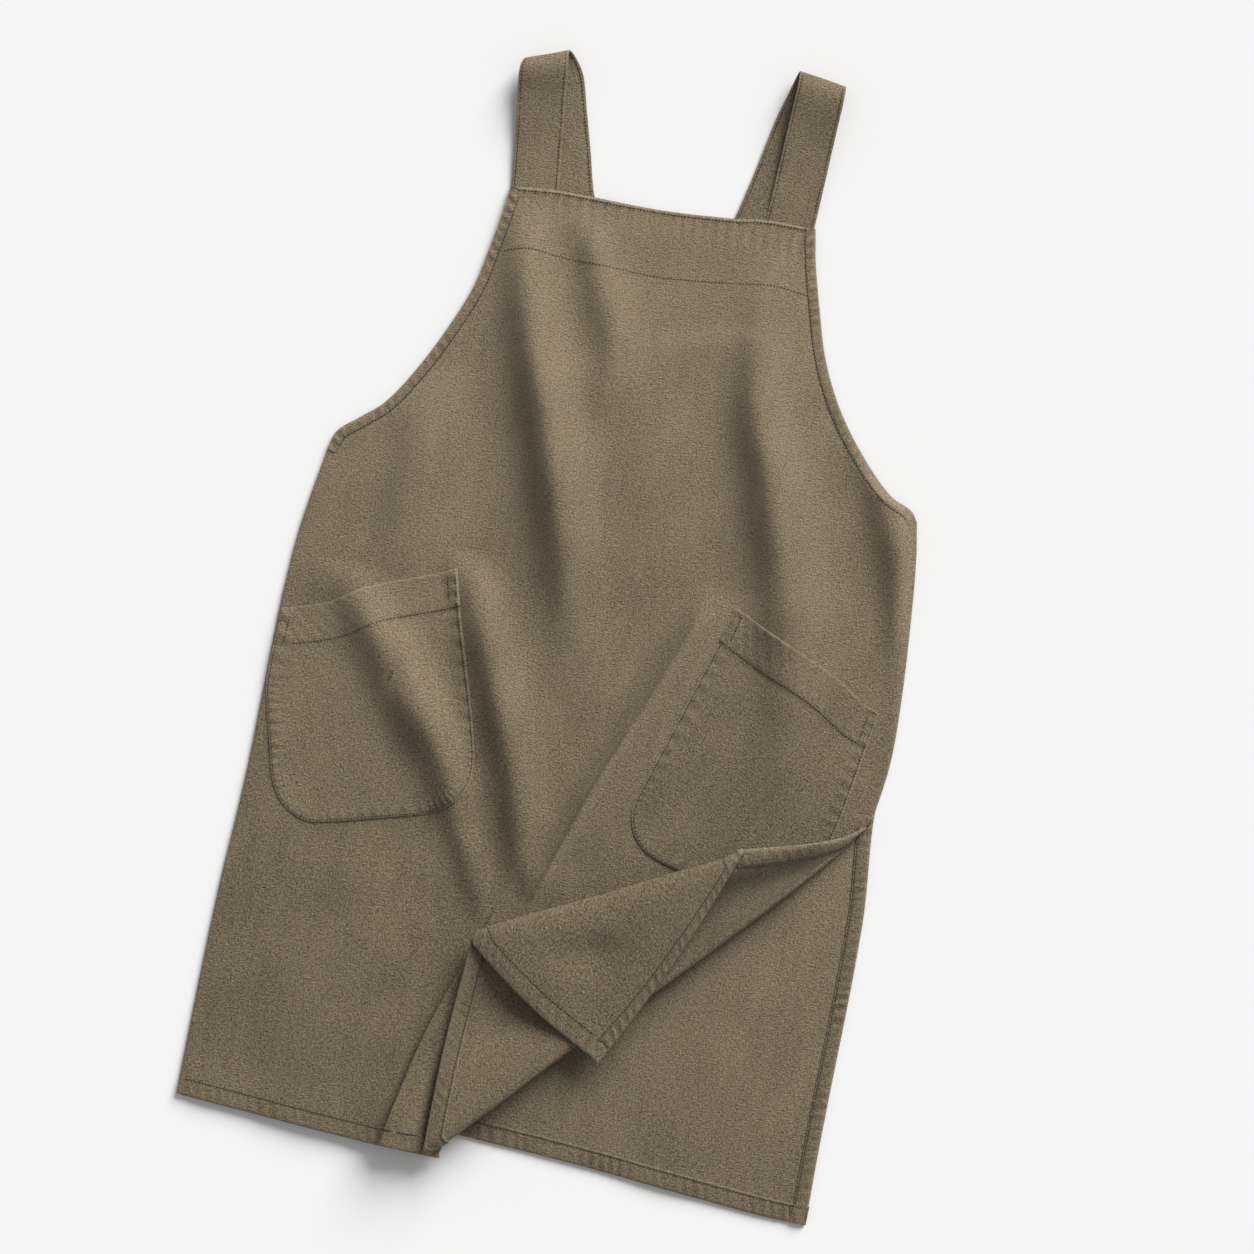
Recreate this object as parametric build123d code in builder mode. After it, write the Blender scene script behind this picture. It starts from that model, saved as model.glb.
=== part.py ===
from build123d import *
import os

os.makedirs("parts", exist_ok=True)

# A cross-back apron laid flat on its back, front side up, with one lower corner folded over twice.
# X runs across the apron, Y towards the bib, Z up from the surface that it lies on. Millimetres.

# Driving dimensions
cloth = 0.8  # one layer of washed linen canvas
thread_width = 0.8
thread_height = 0.4
hem_width = 17  # bottom hems
slit_hem_width = 14
seam_allowance = 10
armhole_facing_width = 11
bib_facing_depth = 52
back_facing_depth = 46
pocket_hem_depth = 33
pocket_corner_radius = 34
strap_loop_radius = 12.5
lower_fold_radius = 8
upper_fold_radius = 9
fold_overrun = 30
edge_stitch_inset = 2
reinforcement_inset = 9  # a second seam beside each pocket mouth

# Thicknesses and levels that follow from the cloth
doubled = 2 * cloth  # a turned hem's two extra layers, or a strap
back_level = 0
front_level = 6 * cloth
facing_level = front_level - cloth
strap_end_level = facing_level - doubled
back_facing_level = back_level + cloth
front_top = front_level + cloth
turned_level = front_level + 2 * lower_fold_radius - cloth
flap_level = turned_level + 2 * upper_fold_radius - cloth

# Corners of the laid-out apron, in plan
bib_left = (-149, 359)
bib_right = (127, 373)
underarm_left = (-266, 97)
underarm_right = (267, 133)
back_neck = (0, 82)
slit_left = (-281, -137)
slit_right = (280, -137)
hem_left = (-289, -498)
hem_right = (289, -508)
back_hem_left = (-284, -474)
fold_foot = (-57, -507)  # where the lower fold meets the front hem
flap_left = (-57, -306)  # the upper fold's ends
flap_right = (168, -186)
flap_tip = (78, -396)  # the folded corner's own tip

# Free edges of the cloth
with BuildLine() as bib_edge:
    Line(bib_left, bib_right)
with BuildLine() as left_armhole:
    Spline(bib_left, (-165, 263), (-208, 170), underarm_left, tangents=((-0.1, -1), (-1, -1)))
with BuildLine() as right_armhole:
    Spline(bib_right, (145, 300), (196, 194), underarm_right, tangents=((0.1, -1), (1, -0.4)))
with BuildLine() as left_seam:
    ThreePointArc(underarm_left, (-277, -15), slit_left)
with BuildLine() as right_seam:
    ThreePointArc(underarm_right, (282, 0), slit_right)
with BuildLine() as left_slit:
    Line(slit_left, hem_left)
with BuildLine() as right_slit:
    ThreePointArc(slit_right, (288, -310), hem_right)
with BuildLine() as back_left_slit:
    Line(slit_left, back_hem_left)
with BuildLine() as left_side:
    add(left_seam.line)
    add(left_slit.line)
with BuildLine() as back_left_side:
    add(left_seam.line)
    add(back_left_slit.line)
with BuildLine() as back_right_side:
    add(right_seam.line)
    add(right_slit.line)
with BuildLine() as front_hem:
    Line(hem_left, fold_foot)
with BuildLine() as back_hem:
    Line(back_hem_left, hem_right)
with BuildLine() as back_top:
    ThreePointArc(underarm_left, back_neck, underarm_right)
with BuildLine() as lower_fold:
    Line(slit_right, fold_foot)
with BuildLine() as turned_hem:
    ThreePointArc(fold_foot, (-61, -400), flap_left)
with BuildLine() as turned_slit:
    ThreePointArc(slit_right, (222, -170), flap_right)
with BuildLine() as upper_fold:
    Line(flap_left, flap_right)
with BuildLine() as flap_hem:
    Line(flap_left, flap_tip)
with BuildLine() as flap_slit:
    Line(flap_right, flap_tip)


def outline(*edges):
    """The face that a closed run of free edges surrounds."""
    with BuildSketch() as shape:
        with BuildLine():
            for edge in edges:
                add(edge.line)
        make_face()
    return shape.sketch


def strip(face, edge, start, width):
    """The part of a face that lies from start to start + width away from an edge."""
    with BuildSketch() as shape:
        add(face)
        trace(edge.line, 2 * (start + width), mode=Mode.INTERSECT)
        if start > 0:
            trace(edge.line, 2 * start, mode=Mode.SUBTRACT)
    return shape.sketch


def fold_allowance(fold):
    """A fold's line, carried on past both of its ends so that a strip beside it clears the outline."""
    with BuildLine() as line:
        Line(fold.line @ 0 - (fold.line % 0) * fold_overrun, fold.line @ 1 + (fold.line % 1) * fold_overrun)
    return line


def trimmed(face, *margins):
    """A face without the strips next to some of its edges. Each margin is an edge and a width."""
    with BuildSketch() as shape:
        add(face)
        for edge, width in margins:
            trace(edge.line, 2 * width, mode=Mode.SUBTRACT)
    return shape.sketch


def layer(face, level, thickness):
    """Adds one flat layer of cloth or thread to the part that is being built."""
    with BuildSketch(Plane.XY.offset(level)) as section:
        add(face)
    extrude(section.sketch, amount=thickness)


def rolled_fold(start, end, level, radius):
    """Adds the half tube that cloth makes as it turns back over itself along a line."""
    way = Vector(*end, 0) - Vector(*start, 0)
    along = way.normalized()
    outward = along.cross(Vector(0, 0, 1))
    axis_end = Vector(*start, level + radius) - outward * radius
    with BuildSketch(Plane(axis_end, x_dir=outward, z_dir=along)) as section:
        Circle(radius)
        Circle(radius - cloth, mode=Mode.SUBTRACT)
        Rectangle(radius, 2 * radius, align=(Align.MIN, Align.CENTER), mode=Mode.INTERSECT)
    extrude(section.sketch, amount=way.length)


# Plan outlines of the flat layers. A rolled fold takes the strip next to its fold line.
lower_front = outline(
    bib_edge, right_armhole, right_seam, lower_fold, front_hem, left_slit, left_seam, left_armhole
)
turned_part = outline(lower_fold, turned_hem, upper_fold, turned_slit)
corner_flap = outline(upper_fold, flap_slit, flap_hem)
back_outline = outline(back_top, right_seam, right_slit, back_hem, back_left_slit, left_seam)
beside_lower_fold = (fold_allowance(lower_fold), lower_fold_radius)
beside_upper_fold = (fold_allowance(upper_fold), upper_fold_radius)
front_face = trimmed(lower_front, beside_lower_fold)
turned_face = trimmed(turned_part, beside_lower_fold, beside_upper_fold)
flap_face = trimmed(corner_flap, beside_upper_fold)

# The front panel: the flat front, the corner turned back over it, and the corner turned again
with BuildPart() as front_panel:
    layer(front_face, front_level, cloth)
    for side in (left_side, right_seam):
        layer(strip(front_face, side, 0, seam_allowance), 3.5 * cloth, 2.5 * cloth)
    layer(strip(front_face, front_hem, 0, hem_width), front_level - doubled, doubled)
    layer(strip(front_face, left_slit, 0, slit_hem_width), front_level - doubled, doubled)
    rolled_fold(fold_foot, slit_right, front_level, lower_fold_radius)
    layer(turned_face, turned_level, cloth)
    layer(strip(turned_face, turned_hem, 0, hem_width), turned_level + cloth, doubled)
    layer(strip(turned_face, turned_slit, 0, slit_hem_width), turned_level + cloth, doubled)
    rolled_fold(flap_right, flap_left, turned_level, upper_fold_radius)
    layer(flap_face, flap_level, cloth)
    layer(strip(flap_face, flap_hem, 0, hem_width), flap_level - doubled, doubled)
    layer(strip(flap_face, flap_slit, 0, slit_hem_width), flap_level - doubled, doubled)

# The back panel lies on the surface with its turned hems uppermost
with BuildPart() as back_panel:
    layer(back_outline, back_level, cloth)
    layer(strip(back_outline, back_hem, 0, hem_width), back_level + cloth, doubled)
    for slit in (back_left_slit, right_slit):
        layer(strip(back_outline, slit, 0, slit_hem_width), back_level + cloth, doubled)
    for side in (back_left_side, back_right_side):
        layer(strip(back_outline, side, 0, seam_allowance), back_level + cloth, doubled)

# Facings: one layer of cloth sewn inside each free upper edge
between_armholes = trimmed(
    front_face, (left_armhole, armhole_facing_width), (right_armhole, armhole_facing_width)
)
with BuildPart() as bib_facing:
    layer(strip(between_armholes, bib_edge, 0, bib_facing_depth), facing_level, cloth)


def armhole_facing(armhole, seam):
    """A narrow facing that follows an armhole and stops at the side seam's allowance."""
    beside_seam = trimmed(front_face, (seam, seam_allowance))
    with BuildPart() as facing:
        layer(strip(beside_seam, armhole, 0, armhole_facing_width), facing_level, cloth)
    return facing


left_armhole_facing = armhole_facing(left_armhole, left_seam)
right_armhole_facing = armhole_facing(right_armhole, right_seam)

between_seams = trimmed(back_outline, (left_seam, seam_allowance), (right_seam, seam_allowance))
with BuildPart() as back_top_facing:
    layer(strip(between_seams, back_top, 0, back_facing_depth), back_facing_level, cloth)


class StrapRoute:
    """Where one strap runs: its crest, its way down to the bib and its way down to the back panel."""

    def __init__(self, crest_left, crest_right, bib_end, back_end, back_levels):
        self.corner = Vector(*crest_left, 0)
        crest = Vector(*crest_right, 0) - self.corner
        middle = self.corner + crest * 0.5
        self.across = crest.normalized()
        self.width = crest.length
        self.front_way = Vector(*bib_end, 0) - middle
        self.back_way = Vector(*back_end, 0) - middle
        self.back_end = back_end
        self.back_levels = back_levels

    def plane(self, way, inset=0):
        """The upright plane of a profile, with its first axis along the strap."""
        run = way.normalized()
        return Plane(self.corner + self.across * inset, x_dir=run, z_dir=run.cross(Vector(0, 0, 1)))


def lifted(points, height):
    """A profile of even height over a run of points."""
    with BuildLine() as rim:
        Polyline(*points, *[(x, z + height) for x, z in reversed(points)], close=True)
    make_face(rim.line.edges())


def quarter_loop(outer, thickness, corner):
    """A quarter of the loop's ring: corner 1 is its upper half, corner -1 its lower half."""
    centre = strap_loop_radius
    with Locations((centre, centre)):
        Circle(outer)
        Circle(outer - thickness, mode=Mode.SUBTRACT)
        rise = Align.MIN if corner > 0 else Align.MAX
        Rectangle(outer, outer, align=(Align.MAX, rise), mode=Mode.INTERSECT)


strap_tuck = 25  # how far a strap's end goes in under the bib
strap_slope_margin = 8  # the strap is level again this far before the bib's edge
crest_level = 2 * strap_loop_radius - doubled


def strap(route):
    """A doubled strap, from under the bib up round its loop and down behind to the back panel."""
    bib_distance = route.front_way.length
    slope = [(strap_loop_radius, crest_level), (bib_distance - strap_slope_margin, strap_end_level)]
    tuck = [slope[1], (bib_distance + strap_tuck, strap_end_level)]
    with BuildPart() as piece:
        for run in (slope, tuck):
            with BuildSketch(route.plane(route.front_way)):
                lifted(run, doubled)
            extrude(amount=route.width, dir=route.across)
        with BuildSketch(route.plane(route.front_way)):
            quarter_loop(strap_loop_radius, doubled, 1)
        extrude(amount=route.width, dir=route.across)
        with BuildSketch(route.plane(route.back_way)):
            quarter_loop(strap_loop_radius, doubled, -1)
        extrude(amount=route.width, dir=route.across)
        with BuildSketch(route.plane(route.back_way)):
            lifted([(strap_loop_radius, 0), *route.back_levels], doubled)
        extrude(amount=route.width, dir=route.across)
    return piece


def strap_stitching(route):
    """The two edge seams on a strap's front run, and the box that is sewn round its back end."""
    slope_end = (route.front_way.length - strap_slope_margin, strap_end_level + doubled)
    with BuildPart() as seams:
        for inset in (edge_stitch_inset, route.width - edge_stitch_inset - thread_width):
            with BuildSketch(route.plane(route.front_way, inset)):
                quarter_loop(strap_loop_radius + thread_height, thread_height, 1)
                lifted([(strap_loop_radius, crest_level + doubled), slope_end], thread_height)
            extrude(amount=thread_width, dir=route.across)
        end_way = route.back_way.normalized()
        box_top = back_facing_level + cloth + doubled
        box_middle = Vector(*route.back_end, box_top) - end_way * 12
        with BuildSketch(Plane(box_middle, x_dir=end_way, z_dir=(0, 0, 1))):
            Rectangle(16, 32)
            Rectangle(16 - 2 * thread_width, 32 - 2 * thread_width, mode=Mode.SUBTRACT)
        extrude(amount=thread_height)
    return seams


# The left strap crosses over the right one inside the apron, so it climbs before the crossing
strap_rest_level = back_facing_level + cloth
crossing_level = strap_rest_level + doubled
left_route = StrapRoute(
    (-158, 473),
    (-120, 487),
    (-127.5, 360.5),
    (50, 48),
    [(265, 0), (295, crossing_level), (428, crossing_level), (440, strap_rest_level), (471, strap_rest_level)],
)
right_route = StrapRoute(
    (86, 508),
    (129, 502),
    (104, 374),
    (-26, 50),
    [(412, 0), (428, strap_rest_level), (474, strap_rest_level)],
)
left_strap = strap(left_route)
right_strap = strap(right_route)
left_strap_stitching = strap_stitching(left_route)
right_strap_stitching = strap_stitching(right_route)

# Patch pockets, turned outwards with the side seams. Corners: mouth, mouth, bottom, bottom.
left_pocket_corners = [(-130, 13), (-290, -56), (-262, -246), (-72, -200)]
right_pocket_corners = [(121, 26), (266, -43), (236, -254), (55, -201)]


def mouth_edge(corners):
    """The edge along a pocket's mouth."""
    with BuildLine() as mouth:
        Line(*corners[:2])
    return mouth


def pocket_outline(corners, inset=0):
    """A pocket's outline, or a line inside it, cut off where the front panel ends."""
    with BuildSketch() as shape:
        with BuildLine():
            Polyline(*corners, close=True)
        make_face()
        fillet(shape.vertices().sort_by(Axis.Y)[:2], pocket_corner_radius)
        if inset > 0:
            offset(amount=-inset, mode=Mode.REPLACE)
        add(front_face, mode=Mode.INTERSECT)
    return shape.sketch


def side_seam_line(corners, inset):
    """A line of thread along a pocket's sides and bottom, which stays clear of its mouth."""
    with BuildSketch() as line:
        add(pocket_outline(corners, inset))
        add(pocket_outline(corners, inset + thread_width), mode=Mode.SUBTRACT)
        trace(mouth_edge(corners).line, 2.5 * inset, mode=Mode.SUBTRACT)
    return line.sketch


def pocket(corners):
    """A pocket lying on the front panel, with its mouth hem turned in underneath."""
    face = pocket_outline(corners)
    with BuildPart() as piece:
        layer(face, front_top, cloth)
        layer(strip(face, mouth_edge(corners), 0, pocket_hem_depth), front_top + cloth, cloth)
    return piece


def pocket_stitching(corners):
    """The seam round a pocket's sides and bottom, with a second seam beside each end of its mouth."""
    mouth = mouth_edge(corners)
    sides = side_seam_line(corners, edge_stitch_inset)
    doubled_sides = side_seam_line(corners, reinforcement_inset)
    reinforcement_depth = pocket_hem_depth - 2 * edge_stitch_inset
    with BuildPart() as seam:
        layer(trimmed(sides, (mouth, pocket_hem_depth)), front_top + cloth, thread_height)
        layer(strip(sides, mouth, 0, pocket_hem_depth), front_top + doubled, thread_height)
        layer(strip(doubled_sides, mouth, 0, reinforcement_depth), front_top + doubled, thread_height)
    return seam


def pocket_mouth_stitching(corners):
    """The seam that holds a pocket's mouth hem, between its side seams."""
    inner_face = pocket_outline(corners, edge_stitch_inset + thread_width)
    line = strip(inner_face, mouth_edge(corners), pocket_hem_depth - edge_stitch_inset, thread_width)
    with BuildPart() as seam:
        layer(line, front_top + doubled, thread_height)
    return seam


left_pocket = pocket(left_pocket_corners)
right_pocket = pocket(right_pocket_corners)
left_pocket_stitching = pocket_stitching(left_pocket_corners)
right_pocket_stitching = pocket_stitching(right_pocket_corners)
left_pocket_mouth_stitching = pocket_mouth_stitching(left_pocket_corners)
right_pocket_mouth_stitching = pocket_mouth_stitching(right_pocket_corners)


def stitching(*rows):
    """A seam's thread as raised lines. Each row is a face, an edge, an inset and a level."""
    with BuildPart() as seam:
        for face, edge, inset, level in rows:
            layer(strip(face, edge, inset, thread_width), level, thread_height)
    return seam


turned_top = turned_level + cloth + doubled
flap_top = flap_level + cloth
back_hem_top = back_level + cloth + doubled
slit_thread_level = front_level - doubled - thread_height  # inside, where the front wraps the side
hem_inset = hem_width - edge_stitch_inset
slit_inset = slit_hem_width - edge_stitch_inset
armhole_inset = armhole_facing_width - edge_stitch_inset

below_bib_seam = trimmed(front_face, (bib_edge, edge_stitch_inset + thread_width))
bib_top_stitching = stitching((front_face, bib_edge, edge_stitch_inset, front_top))
bib_facing_stitching = stitching(
    (between_armholes, bib_edge, bib_facing_depth - edge_stitch_inset, front_top)
)
left_armhole_stitching = stitching((below_bib_seam, left_armhole, armhole_inset, front_top))
right_armhole_stitching = stitching((below_bib_seam, right_armhole, armhole_inset, front_top))
front_hem_stitching = stitching(
    (front_face, front_hem, hem_inset, front_top),
    (turned_face, turned_hem, hem_inset, turned_top),
    (flap_face, flap_hem, hem_inset, flap_top),
)
# Each bottom hem is turned over the ends of the slit hems, so the slit seams stop above it
front_slit_stitching = stitching(
    (trimmed(front_face, (front_hem, hem_width)), left_slit, slit_inset, slit_thread_level),
    (turned_face, turned_slit, slit_inset, turned_top),
    (trimmed(flap_face, (flap_hem, hem_width)), flap_slit, slit_inset, flap_top),
)
above_back_hem = trimmed(back_outline, (back_hem, hem_width))
back_hem_stitching = stitching((back_outline, back_hem, hem_inset, back_hem_top))
back_slit_stitching = stitching(
    (above_back_hem, right_slit, slit_inset, back_hem_top),
    (above_back_hem, back_left_slit, slit_inset, back_hem_top),
)
back_top_stitching = stitching(
    (between_seams, back_top, back_facing_depth - edge_stitch_inset, back_facing_level + cloth)
)


def side_seam_stitching(seam):
    """The hidden thread that joins the front panel's side allowance to the back panel's."""
    with BuildPart() as thread:
        layer(strip(back_outline, seam, 0.6 * seam_allowance, thread_width), back_hem_top, thread_height)
    return thread


left_side_seam_stitching = side_seam_stitching(left_seam)
right_side_seam_stitching = side_seam_stitching(right_seam)

pieces = {
    "front_panel": front_panel,
    "back_panel": back_panel,
    "bib_facing": bib_facing,
    "left_armhole_facing": left_armhole_facing,
    "right_armhole_facing": right_armhole_facing,
    "back_top_facing": back_top_facing,
    "left_strap": left_strap,
    "right_strap": right_strap,
    "left_pocket": left_pocket,
    "right_pocket": right_pocket,
    "bib_top_stitching": bib_top_stitching,
    "bib_facing_stitching": bib_facing_stitching,
    "left_armhole_stitching": left_armhole_stitching,
    "right_armhole_stitching": right_armhole_stitching,
    "front_hem_stitching": front_hem_stitching,
    "front_slit_stitching": front_slit_stitching,
    "back_hem_stitching": back_hem_stitching,
    "back_slit_stitching": back_slit_stitching,
    "back_top_stitching": back_top_stitching,
    "left_pocket_stitching": left_pocket_stitching,
    "right_pocket_stitching": right_pocket_stitching,
    "left_pocket_mouth_stitching": left_pocket_mouth_stitching,
    "right_pocket_mouth_stitching": right_pocket_mouth_stitching,
    "left_strap_stitching": left_strap_stitching,
    "right_strap_stitching": right_strap_stitching,
    "left_side_seam_stitching": left_side_seam_stitching,
    "right_side_seam_stitching": right_side_seam_stitching,
}
for name, piece in pieces.items():
    piece.part.label = name
    export_step(piece.part, f"parts/{name}.step")
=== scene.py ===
import math

import bmesh
import bpy
import numpy as np
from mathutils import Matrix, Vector


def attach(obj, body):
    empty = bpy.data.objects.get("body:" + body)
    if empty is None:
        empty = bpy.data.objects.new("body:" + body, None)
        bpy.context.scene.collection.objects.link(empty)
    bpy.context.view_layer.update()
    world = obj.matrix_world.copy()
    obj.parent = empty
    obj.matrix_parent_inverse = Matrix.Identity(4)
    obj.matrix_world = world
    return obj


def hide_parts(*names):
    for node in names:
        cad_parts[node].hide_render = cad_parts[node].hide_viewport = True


# A cross-back apron laid flat, seen from straight above. Shapes are worked out in millimetres in
# the row frame: X across the apron, Y towards the bib, Z up. Meshes are made in metres.

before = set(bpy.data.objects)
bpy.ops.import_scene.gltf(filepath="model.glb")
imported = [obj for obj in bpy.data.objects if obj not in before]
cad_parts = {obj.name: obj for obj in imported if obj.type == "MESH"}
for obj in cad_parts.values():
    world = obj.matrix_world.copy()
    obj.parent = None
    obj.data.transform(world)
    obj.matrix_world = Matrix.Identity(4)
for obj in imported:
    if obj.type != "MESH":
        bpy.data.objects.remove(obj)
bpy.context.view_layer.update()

MM = 0.001
cloth = 0.8  # one layer of canvas
hem_seam = 15  # from the hem's edge to its stitches
slit_seam = 12
armhole_seam = 9.5
facing_width = 11
mouth_hem = 33  # from a pocket's mouth to the stitches of its hem
stitch_pitch = 3.1
pucker_pitch = 10.0
slit_top = -138  # Y where the side seams end and the slits begin
bib_left, bib_width = -149, 276
# Where the flat coordinates of some pieces start, so that each shows its own stretch of cloth and lies at
# its own place on the painted light falloff from bib to hem.
corner_uv, facing_uv, back_uv = -1500, -2500, (700, 260)


# ---------------------------------------------------------------- lines and profiles


def smooth(t):
    """0 to 1 with an even start and end."""
    t = np.clip(t, 0, 1)
    return t * t * (3 - 2 * t)


def bell(away, width=1.0):
    """1 at 0, falling off to both sides."""
    return np.exp(-((away / width) ** 2))


def hump(t):
    """0 at 0 and at 1, with one round rise between them."""
    return np.sin(math.pi * np.clip(t, 0, 1))


def rounded(points, steps=12):
    """Points on a smooth curve through a few given ones, in any number of dimensions."""
    points = np.array(points, float)
    held = np.vstack([2 * points[0] - points[1], points, 2 * points[-1] - points[-2]])
    chord = np.linalg.norm(np.diff(held, axis=0), axis=1)
    t = np.linspace(0, 1, steps, endpoint=False)[:, None]
    runs = []
    for i in range(1, len(held) - 2):
        start, end = held[i], held[i + 1]
        leaving = (end - held[i - 1]) * chord[i] / (chord[i - 1] + chord[i])
        arriving = (held[i + 2] - start) * chord[i] / (chord[i] + chord[i + 1])
        runs.append(
            (2 * t**3 - 3 * t**2 + 1) * start
            + (t**3 - 2 * t**2 + t) * leaving
            + (3 * t**2 - 2 * t**3) * end
            + (t**3 - t**2) * arriving
        )
    return np.vstack(runs + [points[-1:]])


class Line:
    """A line through a few points, followed by its length in millimetres."""

    def __init__(self, *points, straight=False):
        self.points = np.array(points, float) if straight else rounded(points)
        steps = np.linalg.norm(np.diff(self.points, axis=0), axis=1)
        self.reach = np.concatenate([[0], np.cumsum(steps)])
        self.length = self.reach[-1]

    def at(self, distance):
        """Points at some distances from its start. Beyond its ends it goes straight on."""
        distance = np.asarray(distance, float)
        inside = np.stack([np.interp(distance, self.reach, axis) for axis in self.points.T], -1)
        first = self.points[1] - self.points[0]
        last = self.points[-1] - self.points[-2]
        before = np.minimum(distance, 0)[..., None] * first / np.linalg.norm(first)
        after = np.maximum(distance - self.length, 0)[..., None] * last / np.linalg.norm(last)
        return inside + before + after

    def share(self, part):
        """Points at some shares, 0 to 1, of its length."""
        return self.at(np.asarray(part, float) * self.length)

    def left(self, distance):
        """Unit vectors that point to the left of the way it runs."""
        way = self.at(distance + 1.0) - self.at(distance - 1.0)
        way /= np.linalg.norm(way, axis=-1, keepdims=True)
        return np.stack([-way[..., 1], way[..., 0]], -1)

    def beside(self, distance, offset):
        """Points to its left by an offset."""
        return self.at(distance) + self.left(distance) * np.asarray(offset)[..., None]

    def shifted(self, offset, start=0.0, end=0.0):
        """The same line moved to its left, cut short by start and end."""
        distance = np.linspace(start, self.length - end, max(int(self.length / 3), 8))
        return Line(*self.beside(distance, np.full(distance.shape, float(offset))), straight=True)

    def above(self, y):
        """The part of the line above a height in plan."""
        return Line(*self.points[self.points[:, 1] > y], straight=True)

    def below(self, y):
        return Line(*self.points[self.points[:, 1] < y], straight=True)


def table(where, *stations):
    """Smooth values between stations. Each station is a place and one or more values."""
    fine = rounded(stations)
    fine = fine[np.argsort(fine[:, 0], kind="stable")]
    found = [np.interp(where, fine[:, 0], column) for column in fine[:, 1:].T]
    return found[0] if len(found) == 1 else found


def ridge(across, along, *stations):
    """A soft ridge of cloth. Each station is: place along, crest, height, left width, right width."""
    crest, rise, left, right = table(along, *stations)
    away = across - crest
    return rise * bell(away, np.where(away < 0, left, right))


# ---------------------------------------------------------------- edges of the front, in plan

left_side = Line((-289, -498), (-287, -322), (-282, -202), (-281, -54), (-277, 21), (-266, 96))
left_armhole = Line(
    (-266, 96), (-261, 113), (-242, 130), (-224, 146), (-207, 171), (-186, 211), (-165, 263),
    (-157, 302), (-152, 332), (-149, 359),
)
bib_edge = Line((-149, 359), (-106, 363), (-16, 363.5), (52, 368.5), (83, 373), (127, 373.5))
right_armhole = Line(
    (267, 132), (260, 141), (239, 151), (210, 179), (180, 218), (158, 261), (144, 305), (134, 340),
    (127, 373.5),
)
right_seam = Line((279, -138), (285, -85), (284, -28), (279, 41), (273, 98), (267, 132))
lower_fold = Line(
    (278, -138), (253, -175), (182, -255), (115, -327), (62, -380), (-20, -469), (-57, -507),
)
upper_fold = Line(
    (167, -183.5), (153, -195), (113, -216), (47, -251), (-12, -280), (-47, -299), (-56, -306),
)
front_hem = Line((-289, -498), (-207, -503), (-110, -508), (-57, -507))
flap_tip = np.array((78, -396.0))  # where the folded corner's tip comes to lie

back_left = Line((-286, -473), (-280, -202), (-279, -54), (-275, 21), (-264, 94))
back_right = Line(
    (289, -508), (288, -434), (288, -234), (280, -138), (283, -85), (282, -28), (277, 41), (265, 131),
)
back_hem = Line((-286, -473), (-42, -487), (70, -493), (177, -501.5), (248, -507), (289, -508))
back_top = Line((-264, 94), (-150, 86), (0, 82), (150, 100), (265, 131))

whole_left = Line(*left_side.points, *left_armhole.points[1:], straight=True)
whole_right = Line(*right_seam.points, *right_armhole.points[1:], straight=True)


# ---------------------------------------------------------------- the draped front


def undulation(x, y, seed, count, shortest, longest, height):
    """Faint waves in many directions, the same each run."""
    chance = np.random.default_rng(seed)
    total = np.zeros(np.broadcast(x, y).shape)
    for _ in range(count):
        turn = chance.uniform(0, math.pi)
        wave = chance.uniform(shortest, longest)
        phase = chance.uniform(0, 2 * math.pi)
        total += np.sin((x * math.cos(turn) + y * math.sin(turn)) * 2 * math.pi / wave + phase)
    return total * height / count**0.5


def edge_distance(x, y):
    """How far a point of the front is from its side edges. The slit's edge is folded away."""
    beyond = 900
    left = x - np.interp(y, whole_left.points[:, 1], whole_left.points[:, 0])
    right = np.interp(y, whole_right.points[:, 1], whole_right.points[:, 0], left=beyond) - x
    return np.minimum(left, right)


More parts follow.
